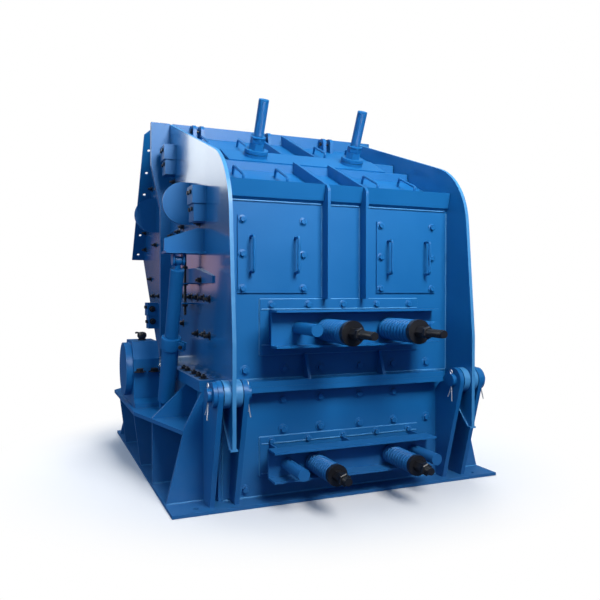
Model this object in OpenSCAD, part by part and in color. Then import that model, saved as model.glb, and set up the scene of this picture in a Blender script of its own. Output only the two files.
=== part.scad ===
// Horizontal-shaft impact (hammer) crusher: fixed base with rotor and feed
// hopper front, and a rear casing that swings back on two hinge pins.
// X runs along the rotor, the springs face -Y, the feed opening faces +Y.
// Lengths "from the rear" are measured from the rear edge of the base plate.

/* [Base plate] */
// Width of the base plate across the rotor
base_w = 2300; // [2240:10:2400]
// Depth of the base plate from the rear edge to the front edge
base_d = 2450; // [2400:10:2600]
// Thickness of the base plate
base_t = 20; // [12:1:30]
// Radius of the anchor holes
anchor_r = 17; // [10:1:24]
// Distance of the anchor holes from the side edges
anchor_side = 156; // [90:1:180]
// Distance of the anchor holes from the rear and front edges
anchor_inset = 72; // [50:1:90]

/* [Body] */
// Width over the outer faces of the side walls
body_w = 1678; // [1640:2:1700]
// Thickness of the side, rear and front walls
wall_t = 23; // [16:1:30]
// Outer face of the rear wall, from the rear
rear_wall_y = 140; // [130:1:150]
// Height of the joint between the base and the rear casing
split_z = 720; // [700:5:740]
// Thickness of each joint flange
flange_t = 34; // [16:1:40]
// How far the joint flanges stand out from the walls
flange_out = 100; // [80:1:101]
// Depth of the side joint flanges, from the rear
flange_end_y = 1050; // [950:10:1080]
// Free play between the fixed base and the moving casing
casing_gap = 0.5; // [0.3:0.1:1]

/* [Rear casing] */
// Joint face between the rear and the front casing, from the rear
front_split_y = 1590; // [1560:5:1620]
// Thickness of the upright joint flanges
ear_t = 22; // [14:1:30]
// How far the upright joint flanges stand out of the side walls at the top
ear_top_out = 150; // [120:5:170]
// How far the upright joint flanges stand out of the side walls lower down
ear_low_out = 78; // [60:1:100]
// Height of the top of the casing at the front joint
casing_top_z = 2655; // [2600:5:2700]
// Depth of the band and of the top ribs above the sloping top plate
rib_h = 85; // [60:1:100]
// Slope of the top plate, in degrees
top_slope = 24; // [22:0.5:25]
// Thickness of the top plate
top_t = 20; // [12:1:25]
// Distance of the two ribs from the middle
rib_x = 137; // [110:1:180]
// Thickness of the ribs
rib_t = 20; // [12:1:28]

/* [Hinge] */
// Hinge axis behind the rear edge of the base plate
hinge_back = 62; // [60:1:66]
// Hinge axis below the joint between the base and the rear casing
hinge_drop = 12; // [5:1:20]
// Radius of the hinge pins
pin_r = 42; // [30:1:48]
// Running clearance of a hinge pin in its eyes
pin_play = 0.05; // [0.02:0.01:0.1]
// Radius of the round eyes of the hinge lugs
eye_r = 81; // [70:1:86]
// Thickness of each hinge lug plate
lug_t = 30; // [20:1:34]
// Thickness of the boss disc outside each outer lug plate
boss_t = 24; // [15:1:26]
// Side play between the casing's bosses and the lugs
lug_play = 6; // [5:0.5:8]

/* [Rotor] */
// Height of the rotor axis
axis_z = 712; // [700:1:720]
// Rotor axis from the rear
axis_y = 1380; // [1360:5:1400]
// Radius swept by the blow bars
rotor_r = 650; // [600:5:655]
// Side play between the rotor body and each side wall
rotor_gap = 66; // [40:2:120]
// Radius of the rotor shaft at the bearings
shaft_r = 80; // [70:1:90]
// Radius of the shaft's driven end
drive_r = 60; // [45:1:65]
// How far the driven end stands out of its bearing
drive_l = 160; // [120:5:200]
// Step from the driven end up to the part of the shaft that runs in the cover
drive_step = 4; // [2:1:5]
// Radius of the shaft openings in the side walls
shaft_hole_r = 110; // [100:1:120]
// Thickness of the blow bars
bar_t = 90; // [60:1:110]
// How far the blow bars stand out of the rotor body
bar_out = 90; // [60:1:110]

/* [Bearings and shelf] */
// Height of the top of the bearing shelf
shelf_z = 455; // [430:5:470]
// Thickness of the shelf and of its gussets
shelf_t = 25; // [16:1:30]
// How far the shelf stands out of the side wall beside the bearing
shelf_out = 381; // [370:1:395]
// How far the shelf stands out of the side wall at its rear end
shelf_rear_out = 201; // [180:1:220]
// Face of the rear gusset, from the rear
gusset_y = 206; // [190:1:220]
// Width of the bearing housing along the shaft
bearing_w = 185; // [160:5:200]
// Length of the bearing housing's foot
bearing_l = 560; // [520:5:600]
// Radius of the round end covers
cover_r = 200; // [180:2:205]
// Thickness of the round end covers
cover_t = 48; // [30:1:60]

/* [Feed side] */
// Front face of the casing at the bottom of the feed opening, from the rear
feed_low_y = 2900; // [2800:5:2940]
// Front face of the casing at the top of the feed opening, from the rear
feed_top_y = 2200; // [2150:5:2240]
// Height of the bottom of the feed opening
feed_low_z = 1630; // [1600:5:1680]
// How far the feed opening's flange stands out of the side walls
feed_flange_out = 108; // [90:1:130]
// Thickness of the feed opening's flange
feed_flange_t = 16; // [12:1:22]
// Radius of the bolt holes in the feed opening's flange
feed_hole_r = 13; // [8:1:16]
// Distance between the bolt holes along the feed opening's flange
feed_pitch = 219; // [190:1:222]

/* [Springs] */
// Distance of the spring channels' ends from the inside of the side walls
channel_inset = 249; // [240:1:290]
// Height of the upper spring rods
upper_z = 1065; // [1055:1:1075]
// Height of the upper guide bars
upper_guide_z = 1081; // [1070:1:1090]
// Distance of the upper spring rods from the middle
upper_x = 219; // [210:1:230]
// Distance of the upper guide bars from the middle
upper_guide_x = 398; // [385:1:410]
// Height of the lower spring rods
lower_z = 247; // [240:1:255]
// Height of the lower guide bars
lower_guide_z = 251; // [244:1:258]
// Distance of the lower spring rods from the middle
lower_x = 271; // [260:1:280]
// Distance of the lower guide bars from the middle
lower_guide_x = 452; // [440:1:465]
// Radius of the spring rods
rod_r = 22; // [16:1:26]
// Outer radius of the upper springs
upper_spring_r = 71; // [64:1:74]
// Outer radius of the lower springs
lower_spring_r = 61; // [56:1:64]
// Radius of the guide bars
guide_r = 36; // [28:1:42]

/* [Jacks] */
// Distance of the opening jacks from the outside of the side walls
jack_out = 166; // [165:1:175]
// Outer radius of the jack's upper tube
jack_tube_r = 46; // [40:1:47]
// Outer radius of the jack's lower barrel
jack_barrel_r = 57; // [56:1:59]
// Radius of the jack's screw
jack_screw_r = 28; // [24:1:29]

/* [Top screws] */
// Distance of the adjusting screws from the middle
screw_x = 387; // [370:1:400]
// Radius of the adjusting screws
screw_r = 36; // [24:1:40]
// Lean of the adjusting screws from upright, in degrees
screw_lean = 27; // [24:0.5:30]

/* [Hidden] */
$fn = 48;

paint = [0.09, 0.36, 0.68];
dark_paint = [0.06, 0.27, 0.55];
black = [0.08, 0.08, 0.09];
steel = [0.55, 0.56, 0.58];

cut = 1;                                  // extra length that makes a cut run through
half_w = body_w / 2;
inner_w = half_w - wall_t;
anchor_x = base_w / 2 - anchor_side;
ear_top_x = half_w + ear_top_out;
ear_low_x = half_w + ear_low_out;
shelf_x = half_w + shelf_out;
shelf_rear_x = half_w + shelf_rear_out;
feed_flange_x = half_w + feed_flange_out;
rotor_l = 2 * (inner_w - rotor_gap);
channel_l = inner_w - channel_inset;
jack_x = half_w + jack_out;
rear_in_y = rear_wall_y + wall_t;
deck_z = split_z + casing_gap;            // underside of the moving casing
joint_y = front_split_y - casing_gap;     // front face of the moving casing
slope = tan(top_slope);

// Height of the top edge of the ribs, the rear lip and the band at a depth y
function rib_top(y) = casing_top_z - (front_split_y - y) * slope;
// Height of the upper face of the sloping top plate at a depth y
function plate_top(y) = rib_top(y) - rib_h;

// A corner of an outline, rounded with radius r, as a list of points
function rounded(a, b, c, r, n = 8) =
    let (u = (a - b) / norm(a - b), v = (c - b) / norm(c - b))
    let (half = acos(u * v) / 2, d = r / tan(half))
    let (mid = (u + v) / norm(u + v), o = b + mid * r / sin(half))
    let (p = b + u * d - o, q = b + v * d - o)
    let (a0 = atan2(p[1], p[0]), turn = (p[0] * q[1] - p[1] * q[0]) > 0 ? 1 : -1)
    [for (i = [0:n]) o + r * [cos(a0 + turn * (180 - 2 * half) * i / n),
                              sin(a0 + turn * (180 - 2 * half) * i / n)]];

// Moves its children so that y counts from the rear edge of the base plate
module from_rear() {
    translate([0, -base_d / 2, 0]) children();
}

// Children on the right-hand side and mirrored on the left-hand side
module both_sides() {
    children();
    mirror([1, 0, 0]) children();
}

// Plate with an outline in Y and Z, from x = x0 to x0 + t
module plate_yz(points, x0, t) {
    translate([x0, 0, 0]) rotate([90, 0, 90]) linear_extrude(t) polygon(points);
}

// Plate with an outline in X and Z, from y = y0 to y0 + t
module plate_xz(points, y0, t) {
    translate([0, y0 + t, 0]) rotate([90, 0, 0]) linear_extrude(t) polygon(points);
}

// Box between two corners
module block(a, b) {
    translate(a) cube(b - a);
}

// Cylinder along X from x = a to x = b at depth y and height z
module bar_x(r, a, b, y, z) {
    translate([a, y, z]) rotate([0, 90, 0]) cylinder(r = r, h = b - a);
}

// Cylinder along Y from y = a to y = b
module bar_y(r, x, a, b, z) {
    translate([x, a, z]) rotate([-90, 0, 0]) cylinder(r = r, h = b - a);
}

// Round bar handle: two legs and a grip of length l, legs of height h, along +X, standing on z = 0
handle_r = 9;
module handle(l, h) {
    bend = 2 * handle_r;
    for (end = [0, 1]) translate([end * l, 0, 0]) mirror([end, 0, 0]) {
        cylinder(r = handle_r, h = h - bend, $fn = 24);
        translate([bend, 0, h - bend]) rotate([90, -90, 0])
            rotate_extrude(angle = 90, $fn = 24) translate([bend, 0]) circle(r = handle_r);
    }
    translate([bend, 0, h]) rotate([0, 90, 0]) cylinder(r = handle_r, h = l - 2 * bend, $fn = 24);
}

// Helical spring along +Z
coil_steps = 16;
coil_sides = 6;
module coil(r, wire_r, length, turns) {
    mid = r - wire_r;
    rings = turns * coil_steps;
    rise = wire_r * cos(180 / coil_sides);
    points = [
        for (i = [0:rings], j = [0:coil_sides - 1])
            let (a = 360 * i / coil_steps, b = 360 * j / coil_sides)
            let (d = mid + wire_r * cos(b))
            [d * cos(a), d * sin(a),
             rise + (length - 2 * rise) * i / rings + wire_r * sin(b)]
    ];
    sides = [
        for (i = [0:rings - 1], j = [0:coil_sides - 1])
            let (k = (j + 1) % coil_sides)
            [i * coil_sides + j, i * coil_sides + k, (i + 1) * coil_sides + k, (i + 1) * coil_sides + j]
    ];
    first = [for (j = [0:coil_sides - 1]) coil_sides - 1 - j];
    last = [for (j = [0:coil_sides - 1]) rings * coil_sides + j];
    polyhedron(points, concat([first], sides, [last]), convexity = 10);
}

// ---------------------------------------------------------------- base

front_wall_y = base_d - rear_wall_y;      // front face of the base's front wall
module base_plate() {
    color(paint) difference() {
        translate([-base_w / 2, -base_d / 2, 0]) cube([base_w, base_d, base_t]);
        from_rear() block([-inner_w, rear_in_y, -cut], [inner_w, front_wall_y - wall_t, base_t + cut]);
        for (x = [-anchor_x, anchor_x], y = [-1, 1])
            translate([x, y * (base_d / 2 - anchor_inset), -cut])
                cylinder(r = anchor_r, h = base_t + 2 * cut);
    }
}

module base_side_walls() {
    color(paint) from_rear() both_sides() difference() {
        block([inner_w, rear_wall_y, base_t], [half_w, front_wall_y, split_z]);
        bar_x(shaft_hole_r, inner_w - cut, half_w + cut, axis_y, axis_z);
        block([inner_w - cut, axis_y - shaft_hole_r, axis_z],
              [half_w + cut, axis_y + shaft_hole_r, split_z + cut]);
    }
}

module base_rear_wall() {
    color(paint) from_rear() difference() {
        block([-inner_w, rear_wall_y, base_t], [inner_w, rear_in_y, split_z]);
        rod_holes(lower_x, lower_z, lower_guide_x, lower_guide_z);
    }
}

module base_front_wall() {
    color(paint) from_rear()
        block([-inner_w, front_wall_y - wall_t, base_t], [inner_w, front_wall_y, split_z]);
}

// Holes for the spring rods and the guide bars of one row
rod_play = 0.5;
module rod_holes(x, z, guide_x, guide_z) {
    both_sides() {
        bar_y(rod_r + rod_play, x, rear_wall_y - flange_out, rear_in_y + cut, z);
        bar_y(guide_r + rod_play, guide_x, rear_wall_y - flange_out, rear_in_y + cut, guide_z);
    }
}

// Joint flange below the joint: a strip across the rear and one along each side
module flange_frame(z) {
    reach = inner_lug_x - lug_play;
    block([-reach, rear_wall_y - flange_out, z], [reach, rear_wall_y, z + flange_t]);
    both_sides() block([half_w, gusset_y, z], [half_w + flange_out, flange_end_y, z + flange_t]);
}

module base_split_flange() {
    color(paint) from_rear() flange_frame(split_z - flange_t);
}

// Shelf for one bearing, on the right-hand side, with its gussets
gusset_rows = [670, 1150, 1918];          // rear faces of the gussets under the shelf, from the rear
taper_y = 960;                             // where the shelf reaches its full width
shelf_taper = 250;                         // length of the shelf's tapered front end
foot_inset = 8;                            // gusset feet end this far inside the base plate's edge
wedge_top = 85;                            // width of the rear wedge under the joint flange
gusset_top = 60;                           // width of the upper gusset under the joint flange
shelf_inset = 75;                          // upper gusset's toe inside the shelf's edge
module bearing_shelf() {
    foot_x = base_w / 2 - foot_inset;
    under = shelf_z - shelf_t;
    rear_x = shelf_rear_x;
    front_y = front_wall_y;
    outline = [[half_w, gusset_y], [rear_x, gusset_y], [shelf_x, taper_y],
               [shelf_x, front_y - shelf_taper], [rear_x, front_y], [half_w, front_y]];
    translate([0, 0, under]) linear_extrude(shelf_t) polygon(outline);
    for (y = gusset_rows)
        plate_xz([[half_w, base_t], [foot_x, base_t], [y < taper_y ? foot_x : shelf_x - shelf_t, under],
                  [half_w, under]], y, shelf_t);
    plate_xz([[half_w, base_t], [foot_x, base_t], [rear_x, under], [half_w, under]], gusset_y, shelf_t);
    plate_xz([[half_w, base_t], [foot_x, base_t], [rear_x, under], [half_w, under]],
             front_y - shelf_t, shelf_t);
    // wedge of the rear gusset above the shelf, up to the joint flange
    flange_under = split_z - flange_t;
    plate_xz([[half_w, shelf_z], [rear_x, shelf_z], [half_w + wedge_top, flange_under], [half_w, flange_under]],
             gusset_y, shelf_t);
    // triangular gusset between the shelf and the joint flange
    plate_xz([[half_w, shelf_z], [shelf_x - shelf_inset, shelf_z], [half_w + gusset_top, flange_under],
              [half_w, flange_under]], gusset_rows[0], shelf_t);
}

module bearing_shelf_right() {
    color(paint) from_rear() bearing_shelf();
}

module bearing_shelf_left() {
    color(paint) mirror([1, 0, 0]) from_rear() bearing_shelf();
}

// ---------------------------------------------------------------- hinge

hinge_y = -hinge_back;
hinge_z = split_z - hinge_drop;
casing_boss = 46;                          // boss thickness inside the casing's side plate
casing_boss_out = 41;                      // boss thickness outside it
inner_lug_x = inner_w - casing_boss - lug_play - lug_t;
outer_lug_x = half_w + casing_boss_out + lug_play;

// Outline of a hinge lug that leans back from the base plate: foot from y = a to y = b, and a
// straight rear edge that runs into the round eye
module lug_plate(x0, a, b, wall_top) {
    lean = atan2(a - hinge_y, hinge_z - base_t) + asin(eye_r / norm([a - hinge_y, hinge_z - base_t]));
    difference() {
        union() {
            plate_yz([[a, base_t], [b, base_t], [b, wall_top],
                      [hinge_y + eye_r * sin(45), hinge_z + eye_r * cos(45)],
                      [hinge_y - eye_r * cos(lean), hinge_z - eye_r * sin(lean)]], x0, lug_t);
            bar_x(eye_r, x0, x0 + lug_t, hinge_y, hinge_z);
        }
        bar_x(pin_r + pin_play, x0 - cut, x0 + lug_t + cut, hinge_y, hinge_z);
    }
}

module eye_boss(x0, t, r) {
    difference() {
        bar_x(r, x0, x0 + t, hinge_y, hinge_z);
        bar_x(pin_r + pin_play, x0 - cut, x0 + t + cut, hinge_y, hinge_z);
    }
}

lug_foot_y = 55;
lug_drop = 60;                             // the lugs' front edges end this far below the joint flange
boss_step = 6;                             // the boss disc's radius below the eye's
module hinge_lugs() {
    flange_under = split_z - flange_t;
    color(paint) from_rear() both_sides() {
        lug_plate(inner_lug_x, lug_foot_y, rear_wall_y, flange_under - lug_drop);
        union() {
            lug_plate(outer_lug_x, lug_foot_y, gusset_y, flange_under - lug_drop);
            eye_boss(outer_lug_x + lug_t, boss_t, eye_r - boss_step);
        }
    }
}

pin_out = 28;                              // how far both ends of a pin stand out of its lugs
module hinge_pins() {
    color(dark_paint) from_rear() both_sides()
        bar_x(pin_r, inner_lug_x - pin_out, outer_lug_x + lug_t + boss_t + pin_out, hinge_y, hinge_z);
}

// ---------------------------------------------------------------- bearings

bearing_gap = 166;                         // between the side wall and the housing
bearing_x = half_w + bearing_gap;
pad_t = 30;                                // thickness of the housing's foot
foot_l = 60;                               // how far the foot stands out in front and behind
foot_rise = 30;                            // the foot's slope up to the housing
cap_side = 90;                             // height of the cap's upright sides
cap_h = 215;                               // height of the cap
cap_slope = 85;                            // length of its slopes
cover_skin = 10;                           // end wall of a cover
shaft_end_play = 5;                        // shaft end inside a cover
// Profile of the housing in Y and Z about the shaft axis
module bearing_half(top) {
    half_l = bearing_l / 2;
    body = half_l - foot_l;
    low = shelf_z - axis_z;
    pad = low + pad_t;
    plate_points = top
        ? [[-body, 0], [body, 0], [body, cap_side], [body - cap_slope, cap_h],
           [cap_slope - body, cap_h], [-body, cap_side]]
        : [[-half_l, pad], [-half_l, low], [half_l, low], [half_l, pad], [body, pad + foot_rise],
           [body, 0], [-body, 0], [-body, pad + foot_rise]];
    difference() {
        translate([0, axis_y, axis_z]) plate_yz(plate_points, bearing_x, bearing_w);
        bar_x(shaft_r + pin_play, bearing_x - cut, bearing_x + bearing_w + cut, axis_y, axis_z);
    }
}

module bearing_bases() {
    color(paint) from_rear() both_sides() bearing_half(false);
}

module bearing_caps() {
    color(paint) from_rear() both_sides() bearing_half(true);
}

// The left cover is closed, the right one lets the driven shaft end through
module bearing_covers() {
    x0 = bearing_x + bearing_w;
    color(paint) from_rear() {
        mirror([1, 0, 0]) difference() {
            bar_x(cover_r, x0, x0 + cover_t, axis_y, axis_z);
            bar_x(shaft_r + pin_play, x0 - cut, x0 + cover_t - cover_skin, axis_y, axis_z);
        }
        difference() {
            bar_x(cover_r, x0, x0 + cover_t, axis_y, axis_z);
            bar_x(shaft_r + pin_play, x0 - cut, x0 + cover_t - cover_skin, axis_y, axis_z);
            bar_x(drive_r + drive_step + pin_play, x0, x0 + cover_t + cut, axis_y, axis_z);
        }
    }
}

// ---------------------------------------------------------------- front casing

front_y = front_split_y + ear_t;
feed_slope = (feed_low_y - feed_top_y) / (casing_top_z - feed_low_z);
feed_angle = atan(feed_slope);
throat_y = 2200;                           // front wall of the casing below the feed chute
throat_z = 860;

module front_side_plates() {
    outline = [[front_split_y, split_z], [front_wall_y, split_z], [throat_y, throat_z],
               [feed_low_y, feed_low_z], [feed_top_y, casing_top_z], [front_split_y, casing_top_z]];
    color(paint) from_rear() both_sides() plate_yz(outline, inner_w, wall_t);
}

module front_top_plate() {
    color(paint) from_rear()
        block([-inner_w, front_split_y + ear_t, casing_top_z - top_t], [inner_w, feed_top_y, casing_top_z]);
}

// Upright joint flange in X and Z: an ear down each side
shoulder_z = 2312;                         // where the ears start to narrow
waist_z = 1970;                            // where the ears reach their low width
module upright_flange(y0, low_z) {
    points = [[half_w, low_z], [ear_low_x, low_z], [ear_low_x, waist_z], [ear_top_x, shoulder_z],
              [ear_top_x, casing_top_z], [half_w, casing_top_z]];
    both_sides() plate_xz(points, y0, ear_t);
}

module front_split_flange() {
    color(paint) from_rear() {
        upright_flange(front_split_y, shelf_z);
        block([-inner_w, front_split_y, casing_top_z - rib_h], [inner_w, front_split_y + ear_t, casing_top_z]);
    }
}

// Frame round the slanted feed opening, with a row of bolt holes down each side
feed_l = norm([feed_low_y - feed_top_y, casing_top_z - feed_low_z]);
feed_rim = 100;                            // width of the frame above the opening
feed_sill = 12;                            // width of the frame below it
feed_first = 96;                           // first bolt hole below the top of the opening
feed_rows = 6;
module feed_plane() {
    translate([0, feed_top_y, casing_top_z]) rotate([feed_angle - 90, 0, 0]) children();
}

module inlet_flange() {
    hole_x = (half_w + feed_flange_x) / 2;
    seam_x = half_w + weld_gap;            // the frame's seat over the front and top plates
    corner = feed_flange_out / 2;          // the frame's upper corners are cut off
    color(paint) from_rear() difference() {
        feed_plane() difference() {
            translate([0, 0, -feed_flange_t]) linear_extrude(feed_flange_t)
                polygon([[-feed_flange_x, corner - feed_rim], [corner - feed_flange_x, -feed_rim],
                         [feed_flange_x - corner, -feed_rim], [feed_flange_x, corner - feed_rim],
                         [feed_flange_x, feed_l + feed_sill], [-feed_flange_x, feed_l + feed_sill]]);
            block([-half_w, 0, -feed_flange_t - cut], [half_w, feed_l, cut]);
            both_sides() for (i = [0:feed_rows - 1])
                translate([hole_x, feed_first + i * feed_pitch, -feed_flange_t - cut])
                    cylinder(r = feed_hole_r, h = feed_flange_t + 2 * cut);
        }
        block([-seam_x, feed_top_y - feed_flange_x, casing_top_z - top_t], [seam_x, feed_top_y, casing_top_z]);
        plate_yz(feed_outline(), -seam_x, 2 * seam_x);
    }
}

function feed_outline() =
    [[throat_y, throat_z], [feed_low_y, feed_low_z], [feed_low_y - wall_t, feed_low_z],
     [throat_y - wall_t, throat_z], [front_wall_y - wall_t, split_z], [front_wall_y, split_z]];

module feed_plate() {
    color(paint) from_rear() plate_yz(feed_outline(), -inner_w, 2 * inner_w);
}

// ---------------------------------------------------------------- rotor

module rotor_shaft() {
    end = bearing_x + bearing_w + cover_t - cover_skin - shaft_end_play;
    face = bearing_x + bearing_w + cover_t;
    color(steel) from_rear() {
        bar_x(shaft_r, -end, end, axis_y, axis_z);
        bar_x(drive_r + drive_step, end - cut, face, axis_y, axis_z);
        bar_x(drive_r, face - cut, face + drive_l, axis_y, axis_z);
    }
}

bars = 4;
pocket = 120;                              // depth of the pockets that hold the blow bars
bar_turn = 45;                             // turn of the first blow bar from upright
module rotor_body() {
    r = rotor_r - bar_out;
    color(dark_paint) from_rear() difference() {
        bar_x(r, -rotor_l / 2, rotor_l / 2, axis_y, axis_z);
        bar_x(shaft_r + pin_play, -rotor_l / 2 - cut, rotor_l / 2 + cut, axis_y, axis_z);
        for (i = [0:bars - 1]) translate([0, axis_y, axis_z]) rotate([bar_turn + i * 360 / bars, 0, 0])
            block([-rotor_l / 2 - cut, -bar_t / 2, r - pocket], [rotor_l / 2 + cut, bar_t / 2, r + cut]);
    }
}

module blow_bars() {
    r = rotor_r - bar_out;
    tip = sqrt(pow(rotor_r, 2) - pow(bar_t / 2, 2));
    color(steel) from_rear() for (i = [0:bars - 1])
        translate([0, axis_y, axis_z]) rotate([bar_turn + i * 360 / bars, 0, 0])
            block([-rotor_l / 2, -bar_t / 2, r - pocket], [rotor_l / 2, bar_t / 2, tip]);
}

// ---------------------------------------------------------------- rear casing

wing_tip_z = 402;                          // lowest point of the tongue over the hinge
wing_tip_w = 30;                           // width of the tongue's tip
wing_rear_y = -156;                        // rearmost edge of the side plate
wing_knee_z = 1010;                        // where the rear edge starts to lean forward
wing_corner = [-59, 2083];                 // where the sloping top edge and the rear edge would meet
wing_r = 480;                              // rounding between the top edge and the rear edge
tongue_gap = 12.5;                         // between the tongue and the base's rear wall
edge_bar_t = 10;                           // flat bar along the tongue's lower edge
edge_bar_out = 11;                         // how far it stands out on both sides of the plate
edge_bar_y = 90;                           // its front end, from the rear
module wing() {
    tip_y = wing_rear_y + wing_tip_w;
    heel_y = rear_wall_y - tongue_gap;
    bar_z = wing_tip_z + edge_bar_y - tip_y;
    points = concat(
        [[joint_y, casing_top_z]],
        rounded([joint_y, casing_top_z], wing_corner, [wing_rear_y, wing_knee_z], wing_r, 12),
        [[wing_rear_y, wing_knee_z], [wing_rear_y, wing_tip_z], [tip_y, wing_tip_z],
         [heel_y, wing_tip_z + heel_y - tip_y], [heel_y, deck_z], [joint_y, deck_z]]);
    difference() {
        union() {
            plate_yz(points, inner_w, wall_t);
            plate_yz([[wing_rear_y, wing_tip_z], [tip_y, wing_tip_z], [edge_bar_y, bar_z],
                      [edge_bar_y + edge_bar_t * sin(45), bar_z - edge_bar_t * cos(45)],
                      [tip_y + edge_bar_t * tan(22.5), wing_tip_z - edge_bar_t],
                      [wing_rear_y, wing_tip_z - edge_bar_t]],
                     inner_w - edge_bar_out, wall_t + 2 * edge_bar_out);
            bar_x(eye_r, inner_w - casing_boss, half_w + casing_boss_out, hinge_y, hinge_z);
        }
        bar_x(pin_r + pin_play, inner_w - casing_boss - cut, half_w + casing_boss_out + cut, hinge_y, hinge_z);
        bar_x(shaft_hole_r, inner_w - cut, half_w + cut, axis_y, axis_z);
    }
}

module rear_side_plate_right() {
    color(paint) from_rear() wing();
}

module rear_side_plate_left() {
    color(paint) mirror([1, 0, 0]) from_rear() wing();
}

lip_back = 50;                             // how far the lip above the rear wall leans back
lip_t = 14;
function rear_wall_outline() =
    let (root_z = plate_top(rear_wall_y) - 2 * top_t, lip_z = rib_top(rear_wall_y - lip_back))
    [[rear_wall_y, deck_z], [rear_in_y, deck_z], [rear_in_y, plate_top(rear_in_y)],
     [rear_wall_y - lip_back + lip_t, lip_z], [rear_wall_y - lip_back, lip_z],
     [rear_wall_y - lip_back / 2, root_z], [rear_wall_y, root_z - top_t]];

module rear_wall() {
    color(paint) from_rear() difference() {
        plate_yz(rear_wall_outline(), -inner_w, 2 * inner_w);
        rod_holes(upper_x, upper_z, upper_guide_x, upper_guide_z);
    }
}

module rear_top_plate() {
    a = rear_in_y;
    b = joint_y - ear_t;
    color(paint) from_rear() difference() {
        plate_yz([[a, plate_top(a) - top_t], [b, plate_top(b) - top_t], [b, plate_top(b)], [a, plate_top(a)]],
                 -inner_w, 2 * inner_w);
        screw_holes();
    }
}

// Two upright ribs that run over the top plate and down the rear wall, and two stiffeners
// between the joint flange and the upper backing plate
rib_out = 90;                              // how far the ribs stand out behind the rear wall
rib_corner_r = 55;
backing_top_z = upper_z + 188;             // top edge of the upper backing plate
module rear_ribs() {
    out_y = rear_wall_y - rib_out;
    b = joint_y - ear_t;
    outline = concat([[b, plate_top(b)], [b, rib_top(b)]],
                     rounded([b, rib_top(b)], [out_y, rib_top(out_y)], [out_y, backing_top_z], rib_corner_r),
                     [[out_y, backing_top_z], [rear_wall_y, backing_top_z],
                      [rear_wall_y, plate_top(rear_in_y)], [rear_in_y, plate_top(rear_in_y)]]);
    color(paint) from_rear() difference() {
        both_sides() plate_yz(outline, rib_x - rib_t / 2, rib_t);
        plate_yz(rear_wall_outline(), -inner_w, 2 * inner_w);
        mount_plane() block([-mount_w, -mount_back, -mount_t], [mount_w, mount_front, rib_h]);
    }
    low = deck_z + flange_t;
    color(paint) from_rear() both_sides()
        plate_yz([[rear_wall_y, low], [rear_wall_y - stiffener_out, low],
                  [rear_wall_y - stiffener_top, backing_low_z], [rear_wall_y, backing_low_z]],
                 stiffener_x - rib_t / 2, rib_t);
}

module rear_split_flange() {
    y0 = joint_y - ear_t;
    color(paint) from_rear() {
        upright_flange(y0, deck_z);
        block([-inner_w, y0, plate_top(y0) - top_t], [inner_w, joint_y, casing_top_z]);
    }
}

module rear_bottom_flange() {
    color(paint) from_rear() flange_frame(deck_z);
}

door_x0 = 253;
door_x1 = 719;
door_z0 = 1292;
door_z1 = 1771;
door_t = 10;
door_handle_l = 220;
handle_h = 60;
module access_doors() {
    color(paint) from_rear() both_sides()
        block([door_x0, rear_wall_y - door_t, door_z0], [door_x1, rear_wall_y, door_z1]);
}

module door_handles() {
    inset = 85;
    color(paint) from_rear() both_sides() for (x = [door_x0 + inset, door_x1 - inset])
        translate([x, rear_wall_y - door_t, (door_z0 + door_z1 - door_handle_l) / 2])
            rotate([90, -90, 0]) handle(door_handle_l, handle_h);
}

// Spring channel, with its spacers, in front of a backing plate
channel_t = 12;
backing_t = 12;
backing_half = channel_l + 8;
backing_low_z = upper_z - 160;             // bottom edge of the upper backing plate
stiffener_x = 270;
stiffener_out = 90;                        // width of a stiffener at its foot
stiffener_top = 30;                        // and at its top
module backing_plate(low, high, x, z, guide_x, guide_z) {
    difference() {
        block([-backing_half, rear_wall_y - backing_t, low], [backing_half, rear_wall_y, high]);
        rod_holes(x, z, guide_x, guide_z);
    }
}

spacer_x = channel_l - 57;                 // outer spacers between a channel and the wall
module channel(web_y, depth, low, high, x, z, guide_x, guide_z) {
    difference() {
        union() {
            block([-channel_l, web_y, low], [channel_l, web_y + channel_t, high]);
            for (h = [low, high - channel_t])
                block([-channel_l, web_y + channel_t - depth, h], [channel_l, web_y + cut, h + channel_t]);
            for (spacer = [-spacer_x, 0, spacer_x])
                block([spacer - channel_t / 2, web_y, low],
                      [spacer + channel_t / 2, rear_wall_y - backing_t, high]);
        }
        both_sides() {
            bar_y(rod_r + rod_play, x, web_y - cut, web_y + channel_t + cut, z);
            bar_y(guide_r + rod_play, guide_x, web_y - cut, web_y + channel_t + cut, guide_z);
        }
    }
}

// Rod through a spring: cap against the spring, nut behind it, threaded end out to end_y
nut_l = 70;
nut_step = 13;                             // the nut's corners past the rod
module spring_rod(x, z, cap_y, cap_t, cap_r, end_y, inner_y) {
    bar_y(rod_r, x, end_y, inner_y, z);
    bar_y(cap_r, x, cap_y, cap_y + cap_t, z);
    translate([x, cap_y, z]) rotate([90, 0, 0]) cylinder(r = rod_r + nut_step, h = nut_l, $fn = 6);
}

upper_web_y = -52;
upper_depth = 105;                         // depth of the channel's flanges
upper_below = 98;                          // the channel's edges below and above the rods
upper_above = 125;
upper_cap_y = -436;
upper_cap_t = 34;
upper_rod_end = -680;
upper_guide_end = -343;
upper_wire_r = 13;
upper_turns = 9;
lower_web_y = -2;
lower_depth = 125;
lower_below = 82;
lower_above = 103;
backing_rim = 15;                          // the lower backing plate stands this far below its channel
lower_rim = 42;                            // and this far above it
lower_cap_y = -348;
lower_cap_t = 30;
lower_rod_end = -488;
lower_guide_end = -284;
lower_wire_r = 11;
lower_turns = 10;
seat = 0.3;                                // between a spring's end and what it presses on
cap_rim = 2;                               // a cap's radius past its spring's

module upper_backing_plate() {
    color(paint) from_rear()
        backing_plate(backing_low_z, backing_top_z, upper_x, upper_z, upper_guide_x, upper_guide_z);
}

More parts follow.
